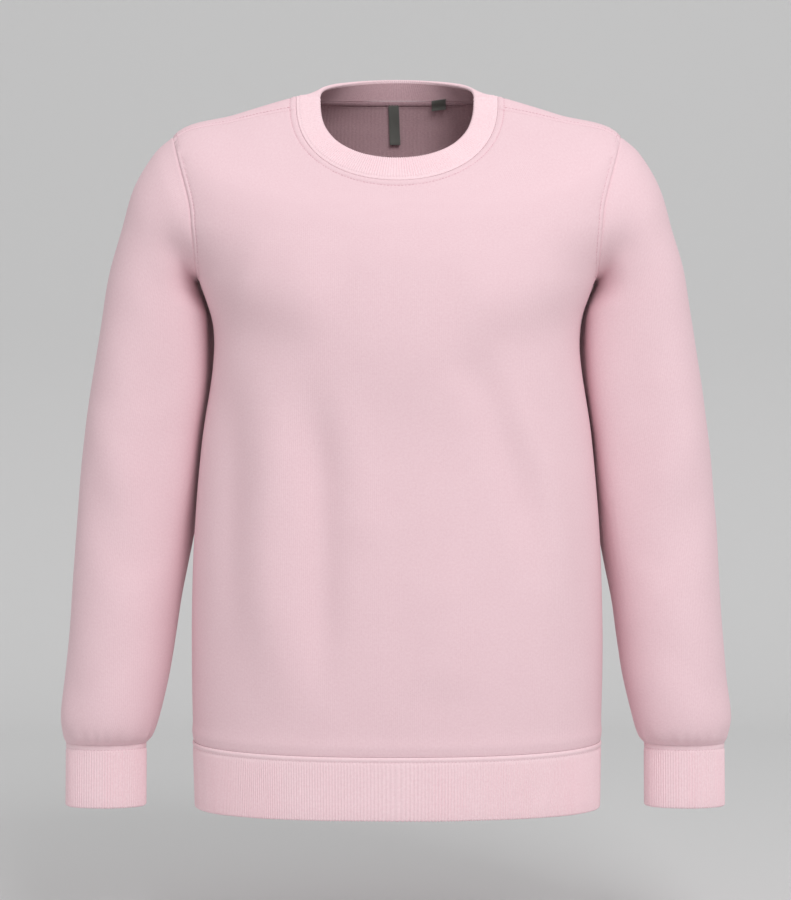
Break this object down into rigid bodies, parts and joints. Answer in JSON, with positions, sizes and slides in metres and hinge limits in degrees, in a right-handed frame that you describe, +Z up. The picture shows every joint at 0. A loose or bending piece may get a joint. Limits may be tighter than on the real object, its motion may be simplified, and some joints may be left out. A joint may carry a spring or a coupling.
{
  "type": "crewneck sweatshirt",
  "caption": "Long-sleeved crewneck sweatshirt in plain fleece, hanging hollow as on a wearer, with rib collar band, cuffs and waistband",
  "frame": {"origin": "on the midline of the garment at the height of its side neck points, where a wearer's shoulders hold it; mount wearer_shoulders", "axes": "+Z up towards the collar, -Y out of the chest, +Y out of the back, -X towards the wearer's right sleeve"},
  "size_m": [0.6661, 0.2471, 0.7371],
  "materials": {
    "fleece": "matt pale pink sweatshirt fleece, plain knit face with a fine nap",
    "rib": "pale pink rib knit, folded double",
    "label": "dark grey woven label, bare"
  },
  "bodies": {
    "root": {"front_panel": "fleece", "back_panel": "fleece", "sleeve_right": "fleece", "sleeve_left": "fleece", "neckband": "rib", "hem_band": "rib", "cuff_right": "rib", "cuff_left": "rib", "neck_label": "label", "size_label": "label"}
  },
  "joints": []
}
